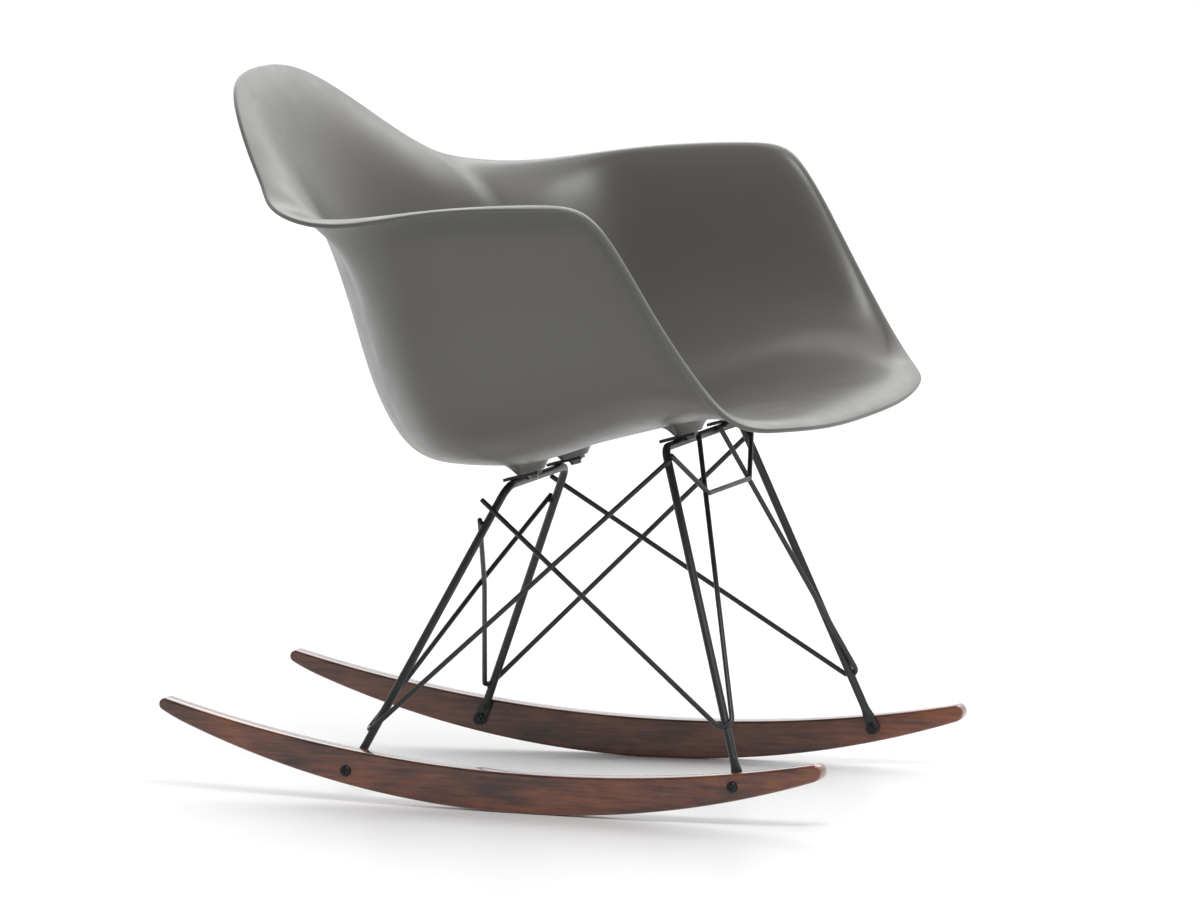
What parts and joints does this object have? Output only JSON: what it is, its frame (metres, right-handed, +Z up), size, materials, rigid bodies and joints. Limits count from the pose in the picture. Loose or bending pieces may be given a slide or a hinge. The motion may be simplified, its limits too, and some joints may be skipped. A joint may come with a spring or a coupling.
{
  "type": "rocking chair",
  "caption": "Rocking armchair: a moulded plastic bowl seat on a braced wire base, carried by two curved wooden rockers.",
  "frame": {"origin": "on the floor, in the middle of the chair's width and length", "axes": "+Z up, -Y the way the sitter looks, +X to the sitter's left"},
  "size_m": [0.6316, 0.6912, 0.6908],
  "materials": {
    "shell_plastic": "satin",
    "black_wire": "satin",
    "stained_wood": "satin",
    "black_fasteners": "satin",
    "bright_screws": "satin"
  },
  "bodies": {
    "root": {"seat_shell": "shell_plastic", "rear_leg_frame": "black_wire", "front_leg_frame": "black_wire", "side_brace_left": "black_wire", "side_brace_right": "black_wire", "cross_brace_left": "black_wire", "cross_brace_right": "black_wire", "front_hanger": "black_wire", "rocker_left": "stained_wood", "rocker_right": "stained_wood", "mount_plate_front_left": "black_wire", "mount_plate_front_right": "black_wire", "mount_plate_rear_left": "black_wire", "mount_plate_rear_right": "black_wire", "mount_screw_front_left": "bright_screws", "mount_screw_front_right": "bright_screws", "mount_screw_rear_left": "bright_screws", "mount_screw_rear_right": "bright_screws", "rocker_screw_front_left": "black_fasteners", "rocker_screw_front_right": "black_fasteners", "rocker_screw_rear_left": "black_fasteners", "rocker_screw_rear_right": "black_fasteners", "rocker_nut_front_left": "black_fasteners", "rocker_nut_front_right": "black_fasteners", "rocker_nut_rear_left": "black_fasteners", "rocker_nut_rear_right": "black_fasteners"}
  },
  "joints": []
}
